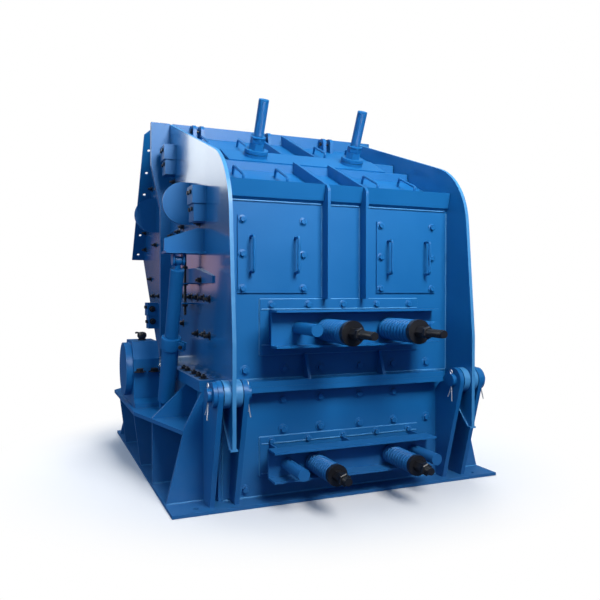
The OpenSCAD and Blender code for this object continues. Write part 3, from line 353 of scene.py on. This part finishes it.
class Kit:
    """Gathers many small solids of one material into one mesh."""

    def __init__(self):
        self.verts, self.faces = [], []

    def add(self, verts, faces, m=Matrix.Identity(4)):
        n = len(self.verts)
        self.verts += [m @ Vector(v) for v in verts]
        self.faces += [tuple(n + i for i in face) for face in faces]

    def lathe(self, profile, m, sides=24):
        """A closed solid turned about Z from (radius, height) points."""
        verts = [(r * c, r * s, z) for r, z in profile for c, s in circle(sides)]
        self.add(verts, sleeve(len(profile), sides), m)

    def hexagon(self, across, height, m, z0=0.0):
        """Hexagon head with its corners turned off."""
        r, c = across / math.sqrt(3), across * 0.06
        self.lathe([(r * 0.97, z0), (r, z0 + c / 2), (r, z0 + height - c),
                    (r * 0.87, z0 + height)], m, 6)

    def bolt(self, m, across, head, washer=True):
        """Hexagon head, on a washer where asked."""
        z = 0.0
        if washer:
            z = across * 0.1
            self.lathe([(across * 0.92, -0.001), (across * 0.92, z * 0.8), (across * 0.88, z)], m)
        self.hexagon(across, head, m, z)

    def stud(self, m, across, height, r, out):
        """Nut and washer on a threaded end that stands out of the nut."""
        self.bolt(m, across, height)
        z = across * 0.1 + height
        self.thread(m @ Matrix.Translation((0, 0, z - 0.002)), r, out, 0.003, sides=12)

    def thread(self, m, r, length, pitch, depth=None, sides=24):
        """Screw thread: a sleeve whose radius follows a helix, closed at both ends."""
        depth = depth or pitch * 0.4
        rows = max(4, int(length / pitch * 4))
        around = circle(sides)
        verts = []
        for k in range(rows + 1):
            z = length * k / rows
            edge = min(1.0, (length - z) / pitch, z / pitch + 0.3)
            for i, (c, s) in enumerate(around):
                t = (z / pitch - i / sides) % 1.0
                w = r - depth * (1 - edge) - depth * abs(2 * t - 1)
                verts.append((w * c, w * s, z))
        self.add(verts, sleeve(rows + 1, sides), m)

    def slab(self, a, b, m=Matrix.Identity(4), edge=0.002):
        """Box between two corners with small bevels on all its edges."""
        a, b = Vector(a), Vector(b)
        mid, half = (a + b) / 2, (b - a) / 2
        e = min(edge, min(half) * 0.9)
        corners = [(sx, sy, sz) for sx in SIDES for sy in SIDES for sz in SIDES]
        verts = []
        for sx, sy, sz in corners:
            c = Vector((sx * half.x, sy * half.y, sz * half.z))
            d = Vector((sx, sy, sz)) * e
            verts += [mid + c - Vector((0, d.y, d.z)), mid + c - Vector((d.x, 0, d.z)),
                      mid + c - Vector((d.x, d.y, 0))]

        def point(sx, sy, sz, k):
            """The point of a corner that lies on the face across axis k."""
            return ((sx > 0) * 4 + (sy > 0) * 2 + (sz > 0)) * 3 + k

        faces = []
        for k in range(3):
            second, third = (k + 1) % 3, (k + 2) % 3
            for d in SIDES:
                ring = []
                for u, v in ((-1, -1), (1, -1), (1, 1), (-1, 1)):
                    p = [0, 0, 0]
                    p[k], p[second], p[third] = d, u, v
                    ring.append(point(*p, k))
                faces.append(tuple(ring if d > 0 else reversed(ring)))
                for d2 in SIDES:
                    p, q = [0, 0, 0], [0, 0, 0]
                    p[k] = q[k] = d
                    p[second] = q[second] = d2
                    p[third], q[third] = SIDES
                    quad = [point(*p, k), point(*q, k), point(*q, second), point(*p, second)]
                    faces.append(tuple(quad if d * d2 < 0 else reversed(quad)))
        for sx, sy, sz in corners:
            tri = [point(sx, sy, sz, k) for k in range(3)]
            faces.append(tuple(tri if sx * sy * sz > 0 else reversed(tri)))
        self.add(verts, faces, m)

    def prism(self, outline, x0, x1):
        """Plate across the rotor from (depth, height) points, anticlockwise seen from +x."""
        n = len(outline)
        verts = [at(x, u, v) for x in (min(x0, x1), max(x0, x1)) for u, v in outline]
        walls = [((i + 1) % n, n + (i + 1) % n, n + i, i) for i in range(n)]
        self.add(verts, walls + caps(2, n))

    def tube(self, points, r, sides=12, wobble=0.0):
        """Round bar along a line of points, thicker and thinner by turns where asked."""
        points = [Vector(p) for p in points]
        around = circle(sides)
        verts = []
        normal = None
        for k, p in enumerate(points):
            along = (points[min(k + 1, len(points) - 1)] - points[max(k - 1, 0)]).normalized()
            if normal is None:
                normal = along.orthogonal().normalized()
            normal = (normal - along * normal.dot(along)).normalized()
            side = along.cross(normal)
            w = r * (1 + wobble * (1 if k % 2 else -1))
            verts += [p + (normal * c + side * s) * w for c, s in around]
        self.add(verts, sleeve(len(points), sides))

    def weld(self, a, b, r=0.006):
        """Weld bead between two places, in overlapping ripples."""
        n = max(3, int((b - a).length / 0.008))
        self.tube([a.lerp(b, i / n) for i in range(n + 1)], r, 6, 0.13)

    def make(self, name, body, mat, angle=35):
        mesh = bpy.data.meshes.new(name)
        mesh.from_pydata(self.verts, [], self.faces)
        mesh.validate()
        mesh.shade_smooth()
        mesh.set_sharp_from_angle(angle=math.radians(angle))
        mesh.materials.append(mat)
        obj = bpy.data.objects.new(name, mesh)
        bpy.context.scene.collection.objects.link(obj)
        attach(obj, body)
        return obj


# Fasteners: width across the flats and height of the head or nut. A nut on a stud adds the
# thread's radius and how far it stands out.
PLATE_BOLT = (0.030, 0.013)
WALL_BOLT = (0.036, 0.015)
BEARING_BOLT = (0.046, 0.022)
JOINT_BOLT = (0.034, 0.018)
JOINT_NUT = (*JOINT_BOLT, 0.010, 0.012)
BLOCK_BOLT = (0.026, 0.012)
BLOCK_REAR_BOLT = (0.030, 0.020)
CLAMP_NUT = (0.026, 0.012)
LUG_NUT = (0.032, 0.014)
ROD_NUT = (0.036, 0.018)
LINER_NUT = (0.030, 0.022, 0.010, 0.018)
ARM_NUT = (0.030, 0.022, 0.010, 0.014)


# ------------------------------------------------------------------ rear face

DOOR_BOLT_X, DOOR_BOLT_Z = (0.284, 0.689), (1.319, 1.532, 1.744)
BACKING_BOLT_X = (-0.50, -0.25, 0.0, 0.25, 0.50)
BACKING_BOLT_Z = (1.217, 0.362)               # upper and lower backing plate
LINER_ROWS = (                                # body, height, turn, and places across the wall
    ("rear_casing", 0.813, 0.5, (-0.67, -0.41, -0.157, 0.127, 0.38, 0.65)),
    ("base", 0.623, 0.1, (-0.42, -0.16, 0.125, 0.39)),
    ("base", 0.43, 0.7, (-0.416, -0.16, 0.126, 0.39, 0.652)),
    ("base", 0.074, 0.4, (-0.669,)),
)


def rear_face():
    """Bolts of the doors, the backing plates and the liners behind the rear wall."""
    casing, base = Kit(), Kit()
    kits = {"rear_casing": casing, "base": base}
    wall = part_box("base_rear_wall")[0].y
    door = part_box("access_doors")[0].y
    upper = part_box("upper_backing_plate")[0].y
    for s in SIDES:
        for x in DOOR_BOLT_X:
            for z in DOOR_BOLT_Z:
                casing.bolt(facing((s * x, door, z), OUT, 0.3), *PLATE_BOLT)
    for x in BACKING_BOLT_X:
        for kit, z in zip((casing, base), BACKING_BOLT_Z):
            kit.bolt(facing((x, upper, z), OUT, 0.2), *PLATE_BOLT)
    for body, z, turn, row in LINER_ROWS:
        for x in row:
            kits[body].bolt(facing((x, wall, z), OUT, turn), *WALL_BOLT)
    casing.make("casing_rear_bolts", "rear_casing", BLUE)
    base.make("base_rear_bolts", "base", BLUE)


# ------------------------------------------------------------------ springs and rods

SPRING_ROWS = (                               # row, body, turns, wire's radius, end washer
    ("upper", "rear_casing", 9, 0.013, 0.034),
    ("lower", "base", 10, 0.011, 0.030),
)
SPRING_ROOM = 0.0005                          # between a spring's end and its seat
NUT_FACE = 0.069                              # from the washer to the first nut's outer face
ROD_THREAD_R, ROD_PITCH, ROD_TIP = 0.0242, 0.006, 0.003


def coil(name, body, x, z, start, end, r, wire, turns):
    """Round-wire helical spring along the depth."""
    kit = Kit()
    steps = 28
    n = int(turns * steps)
    mid = r - wire
    points = []
    for i in range(n + 1):
        t = i / n
        rise = wire + (end - start - 2 * wire) * t
        a = 2 * math.pi * i / steps
        points.append(at(x + mid * math.cos(a), start + rise, z + mid * math.sin(a)))
    kit.tube(points, wire)
    return kit.make(name, body, BLUE, 60)


def spring_rods():
    """Smooth springs in place of the faceted ones, and threads and second nuts on their rods."""
    for row, body, turns, wire, washer in SPRING_ROWS:
        lo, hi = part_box(row + "_springs")
        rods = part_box(row + "_spring_rods")
        r = (hi.z - lo.z) / 2
        x, z = hi.x - r, (lo.z + hi.z) / 2
        start, end = lo.y - REAR + SPRING_ROOM, hi.y - REAR - SPRING_ROOM
        for s, side in HANDS:
            spring = coil(f"{row}_spring_{side}", body, s * x, z, start, end, r, wire, turns)
            if s < 0:
                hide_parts(row + "_springs")
        kit = Kit()
        nut = lo.y - washer - NUT_FACE
        for s in SIDES:
            m = facing((s * x, nut, z), OUT)
            kit.thread(m, ROD_THREAD_R, nut - rods[0].y - ROD_TIP, ROD_PITCH)
            kit.hexagon(0.066, 0.026, m @ Matrix.Rotation(0.4, 4, "Z"), 0.004)
        kit.make(row + "_rod_threads", body, BLACK)


# ------------------------------------------------------------------ top screws

SCREW = (0.387, 0.762, 2.276)                 # where a screw leaves its plate
SCREW_LEAN = math.radians(27)                 # of the screws and their plate from the vertical


def top_screws():
    """Second nut, thin ring and thread on each screw."""
    axis = (0, -math.sin(SCREW_LEAN), math.cos(SCREW_LEAN))
    x, depth, z = SCREW
    kit = Kit()
    for s in SIDES:
        m = facing(at(s * x, depth, z), axis)
        kit.hexagon(0.094, 0.040, m @ Matrix.Rotation(math.pi / 6, 4, "Z"), 0.094)
        kit.lathe([(0.050, 0.132), (0.054, 0.134), (0.054, 0.141), (0.050, 0.143)], m, 32)
        kit.thread(m @ Matrix.Translation((0, 0, 0.142)), 0.0376, 0.255, 0.007, 0.0030)
    kit.make("adjusting_screw_threads", "rear_casing", BLUE)


# ------------------------------------------------------------------ sides

# (depth, height) of each nut, as the projection printed it; the right side mirrors the left
REAR_NUTS = ((1.021, 1.267), (0.832, 1.262), (0.656, 1.260), (0.492, 1.258), (0.339, 1.253),
             (1.089, 1.066), (0.657, 1.015), (0.467, 1.020), (0.340, 1.018), (1.482, 1.742),
             (1.222, 1.752), (1.084, 1.777), (0.598, 1.759), (1.392, 2.157))
FRONT_NUTS = ((2.446, 1.416), (2.290, 1.258), (2.021, 1.260), (2.720, 1.869), (2.185, 1.717),
              (2.722, 1.704), (2.378, 2.246), (2.028, 2.195), (1.757, 2.147), (1.671, 2.208))
JOINT_DEPTHS, JOINT_X = (0.300, 0.427, 0.549, 0.738, 0.846), 0.889


def side_nuts():
    """Black nuts of the liner bolts on both sides."""
    rear, front = Kit(), Kit()
    for s in SIDES:
        for kit, places, turn in ((rear, REAR_NUTS, 0.4), (front, FRONT_NUTS, 0.5)):
            for i, (depth, z) in enumerate(places):
                kit.stud(facing(at(s * FACE, depth, z), (s, 0, 0), i * turn), *LINER_NUT)
    rear.make("rear_liner_nuts", "rear_casing", BLACK)
    front.make("front_liner_nuts", "base", BLACK)


def joint_bolts():
    """Nuts above the joint between casing and base, bolt heads below it."""
    above, below = Kit(), Kit()
    top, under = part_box("rear_bottom_flange")[1].z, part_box("base_split_flange")[0].z
    for s in SIDES:
        for i, depth in enumerate(JOINT_DEPTHS):
            above.stud(facing(at(s * JOINT_X, depth, top), UP, i * 0.3), *JOINT_NUT)
            below.bolt(facing(at(s * JOINT_X, depth, under), DOWN, i * 0.5), *JOINT_BOLT)
    above.make("joint_nuts", "rear_casing", BLACK)
    below.make("joint_bolt_heads", "base", BLACK)


ROD_X, ROD_DEPTH, ROD_FOOT = 0.893, 0.793, 1.137          # upright threaded rod beside the jack
ROD_NUTS = ((1.196, 0.2), (1.342, 0.5), (1.458, 0.1))     # height and turn
ARM = ((0.24, 1.352), (0.86, 1.360), (0.86, 1.458), (0.63, 1.458), (0.24, 1.398))
ARM_LENGTH, ARM_THIN, ARM_GROWS = 0.62, 0.010, 0.028      # it is thicker at the rod's end
CLIP_DEPTHS, LIP_X, CLIP_X = (0.745, 0.845), 0.915, 0.925


def hand_rod():
    """Threaded rod in the lip of a tapered arm, with a clip below it, on each side."""
    kit, plates = Kit(), Kit()
    n = len(ARM)
    d0, d1 = CLIP_DEPTHS
    for s in SIDES:
        kit.thread(facing(at(s * ROD_X, ROD_DEPTH, ROD_FOOT), UP), 0.0105, 0.44, 0.004, sides=14)
        for z, turn in ROD_NUTS:
            kit.hexagon(*ROD_NUT, facing(at(s * ROD_X, ROD_DEPTH, z), UP, turn))
        kit.stud(facing(at(s * 0.858, 0.492, 1.375), (s, 0, 0), 0.3), *ARM_NUT)
        outline = ARM if s > 0 else ARM[::-1]
        inner = [at(s * (FACE - 0.001), u, v) for u, v in outline]
        outer = [at(s * (FACE + ARM_THIN + ARM_GROWS * (u - ARM[0][0]) / ARM_LENGTH), u, v)
                 for u, v in outline]
        plates.add(inner + outer, caps(2, n) +
                   [(i, (i + 1) % n, n + (i + 1) % n, n + i) for i in range(n)])
        plates.prism([(d0, 1.352), (d1, 1.352), (d1, 1.360), (d0, 1.360)], s * FACE, s * LIP_X)
        lo, hi = sorted((s * FACE, s * CLIP_X))
        plates.slab(at(lo, d0, 1.214), at(hi, d1, 1.224))
    kit.make("threaded_rods", "rear_casing", BLACK)
    plates.make("rod_brackets", "rear_casing", BLUE)


JACK_X, JACK_FOOT = 1.005, (0.925, 0.5)       # the lower pin's depth and height
JACK_LEAN = math.atan2(0.425, 1.0)
COLLAR = ((0.0475, 0.488), (0.0565, 0.470), (0.064, 0.448), (0.068, 0.452), (0.068, 0.528),
          (0.065, 0.534), (0.0475, 0.536))    # radius, and height above the lower pin
CLAMP_R, CLAMP_Z = 0.090, 0.493               # the collar's bolt


def jack_details():
    """Clamping collar with its pair of lugs and its bolt on each jack barrel."""
    axis = Vector((0, -math.sin(JACK_LEAN), math.cos(JACK_LEAN)))
    for s, side in HANDS:
        collar, black = Kit(), Kit()
        foot = at(s * JACK_X, *JACK_FOOT)
        collar.lathe(COLLAR, facing(foot, axis), 40)
        inward = Vector((-s, 0, 0))
        back = axis.cross(inward)
        back = back if back.y < 0 else -back
        away = (inward + back).normalized()   # the lugs point inwards and to the rear
        across = axis.cross(away)
        rows = [(away[k], across[k], axis[k], foot[k]) for k in range(3)]
        place = Matrix(rows + [(0, 0, 0, 1)])
        for k, lo, hi in ((-1, -0.018, -0.008), (1, 0.008, 0.018)):
            collar.slab((0.060, lo, 0.462), (0.112, hi, 0.524), place)
            nut = foot + away * CLAMP_R + across * k * 0.018 + axis * CLAMP_Z
            black.hexagon(*CLAMP_NUT, facing(nut, across * k))
        bolt = foot + away * CLAMP_R + axis * CLAMP_Z
        black.lathe([(0.008, -0.019), (0.008, 0.019)], facing(bolt, across), 12)
        collar.make(f"jack_collar_{side}", f"jack_barrel_{side}", BLUE, 40)
        black.make(f"jack_collar_bolt_{side}", f"jack_barrel_{side}", BLACK)


SPLIT_PINS = ((0.956, 0.012), (0.718, -0.010))            # place across, and the legs' swing
SPLIT_WIRE = 0.0035


def hinge_pins():
    """Split pins through both ends of the hinge pins, their legs hanging down."""
    kit = Kit()
    lo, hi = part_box("hinge_pins")
    depth, z, r = (lo.y + hi.y) / 2 - REAR, (lo.z + hi.z) / 2, (hi.z - lo.z) / 2
    for s in SIDES:
        for x, swing in SPLIT_PINS:
            for k in SIDES:
                leg = ((0, k * 0.006, r + 0.020), (0, k * 0.011, r + 0.012),
                       (0, k * 0.003, r + 0.002), (0, 0, 0), (0, 0, -r - 0.004),
                       (s * swing * 0.3, k * 0.008, -r - 0.035),
                       (s * swing, k * 0.020, -r - 0.085 + 0.012 * k))
                hole = at(s * x, depth + k * 0.0025, z)
                kit.tube([hole + Vector(v) for v in leg], SPLIT_WIRE, 8)
            kit.tube([at(s * x, depth - 0.006, z + r + 0.020), at(s * x, depth, z + r + 0.026),
                      at(s * x, depth + 0.006, z + r + 0.020)], SPLIT_WIRE, 8)
    kit.make("hinge_split_pins", "base", ZINC, 60)


# ------------------------------------------------------------------ bearings

CAP_X, CAP_DEPTH = 1.100, 1.352
GREASE_CAP = ((0.020, 0.012), (0.028, 0.018), (0.034, 0.028), (0.035, 0.042), (0.031, 0.055),
              (0.020, 0.063), (0.008, 0.065))
SPOUT = ((1.100, 0.052), (1.138, 0.060), (1.150, 0.057))  # place across, height over the cap
SEAT_Z = 0.4555


def bearing_parts():
    """Grease cap on each bearing, the bolts on its base and the seams of its seat."""
    kit, seams = Kit(), Kit()
    cap_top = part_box("bearing_caps")[1].z
    base_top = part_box("bearing_bases")[1].z
    for s in SIDES:
        m = facing(at(s * CAP_X, CAP_DEPTH, cap_top), UP)
        kit.hexagon(0.052, 0.014, m)
        kit.lathe(GREASE_CAP, m, 28)
        kit.tube([at(s * x, CAP_DEPTH, cap_top + z) for x, z in SPOUT], 0.007, 10)
        for depth in (1.130, 1.630):
            for x in (1.150, 1.045):
                kit.bolt(facing(at(s * x, depth, base_top), UP, x * 3), *BEARING_BOLT)
        for depth in (1.115, 1.645):
            seams.weld(at(s * 1.01, depth, SEAT_Z), at(s * 1.185, depth, SEAT_Z), 0.005)
    kit.make("bearing_bolts_and_grease_caps", "base", BLACK)
    seams.make("bearing_seat_welds", "base", BLUE)


# ------------------------------------------------------------------ joint between the casings

LUG_PAIRS = (-0.630, -0.055, 0.520)
LUG_INNER, LUG_OUTER = 0.018, 0.046           # a lug's two faces, from the middle of its pair
LUG_BOLT_BACK, LUG_BOLT_Z = 0.062, 2.594


def band_lugs():
    """Pairs of rounded lugs on the joint flange over the top plate, each pair with its bolt."""
    kit, bolts = Kit(), Kit()
    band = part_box("rear_split_flange")[0].y - REAR
    round_end = [(band - 0.068 - 0.050 * math.sin(t), 2.592 + 0.050 * math.cos(t))
                 for t in (math.radians(d) for d in range(0, 91, 15))]
    outline = [(band, 2.550), (band, 2.642)] + round_end + [(band - 0.118, 2.500)]
    outline.reverse()
    for x in LUG_PAIRS:
        for k in SIDES:
            kit.prism(outline, x + k * LUG_INNER, x + k * LUG_OUTER)
            nut = at(x + k * LUG_OUTER, band - LUG_BOLT_BACK, LUG_BOLT_Z)
            bolts.hexagon(*LUG_NUT, facing(nut, (k, 0, 0), 0.2))
        middle = at(x, band - LUG_BOLT_BACK, LUG_BOLT_Z)
        bolts.lathe([(0.010, -0.05), (0.010, 0.05)], facing(middle, (1, 0, 0)), 14)
    kit.make("joint_lugs", "rear_casing", BLUE)
    bolts.make("joint_lug_bolts", "rear_casing", BLACK)


BLOCK_STEP = 0.032                            # from a block's middle to a bolt, along the depth
REAR_BLOCKS = ((0.500, 1.870), (1.420, 2.325))            # depth and height
REAR_BLOCK_BOLTS = ((0.929, 0.075), (0.919, -0.035))      # place across, height from the middle
FRONT_BLOCK_BOLTS = ((0.929, 1.160), (0.919, 1.030))      # place across, height
FRONT_BLOCK_BACK = ((0.889, 2.105, 1.145, 0.2), (0.884, 2.115, 1.035, 0.6))


def block_bolts():
    """Bolts on the outer faces of the suspension blocks, and on the rear of the front ones."""
    rear, front = Kit(), Kit()
    for s in SIDES:
        for depth, z in REAR_BLOCKS:
            for k in SIDES:
                for x, rise in REAR_BLOCK_BOLTS:
                    place = at(s * x, depth + k * BLOCK_STEP, z + rise)
                    rear.bolt(facing(place, (s, 0, 0), k), *BLOCK_BOLT, False)
        for k in SIDES:
            for x, z in FRONT_BLOCK_BOLTS:
                place = at(s * x, 2.180 + k * BLOCK_STEP, z)
                front.bolt(facing(place, (s, 0, 0), k), *BLOCK_BOLT, False)
        for x, depth, z, turn in FRONT_BLOCK_BACK:
            front.bolt(facing(at(s * x, depth, z), OUT, turn), *BLOCK_REAR_BOLT)
    rear.make("rear_block_bolts", "rear_casing", BLACK)
    front.make("front_block_bolts", "base", BLACK)


# ------------------------------------------------------------------ welds

LIP_SEAM_Z = 1.863                            # under the top plate's lip
LIP_SEAMS = ((-0.80, -0.155), (-0.118, 0.118), (0.155, 0.80))
RIB_FACES = (0.126, 0.148)
WING_X, WALL_X = 0.815, 0.81                  # upright seams, and ends of the level ones
GUSSETS = (0.206, 0.670, 1.150, 1.918)
CHANNEL_PLATES = (                            # plate, its two level seams, the channel's two
    ("upper_backing_plate", 0.905, 1.253, 0.967, 1.190),
    ("lower_backing_plate", 0.150, 0.392, 0.165, 0.350),
)


def welds():
    """Beads on the rear wall, on both backing plates, and round the bearing shelves' gussets."""
    casing, base = Kit(), Kit()
    plates = list(zip((casing, base), CHANNEL_PLATES))
    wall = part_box("base_rear_wall")[0].y - REAR
    for x0, x1 in LIP_SEAMS:
        casing.weld(at(x0, wall - 0.002, LIP_SEAM_Z), at(x1, wall - 0.002, LIP_SEAM_Z))
    for s in SIDES:
        for x in RIB_FACES:
            casing.weld(at(s * x, wall, 1.262), at(s * x, wall, 1.855), 0.005)
        casing.weld(at(s * WING_X, wall, 0.760), at(s * WING_X, wall, 1.85), 0.005)
        base.weld(at(s * WING_X, wall, 0.03), at(s * WING_X, wall, 0.68), 0.005)
        for kit, (_, low, high, _, _) in plates:
            kit.weld(at(s * 0.577, wall, low), at(s * 0.577, wall, high), 0.005)
        for depth in GUSSETS:
            base.weld(at(s * FACE, depth, 0.021), at(s * 1.14, depth, 0.021))
            base.weld(at(s * FACE, depth, 0.022), at(s * FACE, depth, 0.43))
        base.weld(at(s * FACE, 0.21, 0.457), at(s * FACE, 1.09, 0.457))
    for kit, (_, low, high, _, _) in plates:
        for z in (low, high):
            kit.weld(at(-0.575, wall, z), at(0.575, wall, z), 0.005)
    casing.weld(at(-WALL_X, wall, 0.756), at(WALL_X, wall, 0.756))
    base.weld(at(-WALL_X, wall, 0.022), at(WALL_X, wall, 0.022), 0.007)
    base.weld(at(-WALL_X, wall, 0.684), at(WALL_X, wall, 0.684))
    for kit, (plate, _, _, low, high) in plates:
        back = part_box(plate)[0].y - REAR
        for z in (low, high):
            kit.weld(at(-0.565, back, z), at(0.565, back, z), 0.005)
    # the beads take the lighter painted highlight colour, in place of the light that catches them
    casing.make("casing_welds", "rear_casing", EDGE_HIGHLIGHT, 60)
    base.make("base_welds", "base", EDGE_HIGHLIGHT, 60)


rear_face()
spring_rods()
top_screws()
side_nuts()
joint_bolts()
hand_rod()
jack_details()
hinge_pins()
bearing_parts()
band_lugs()
block_bolts()
welds()
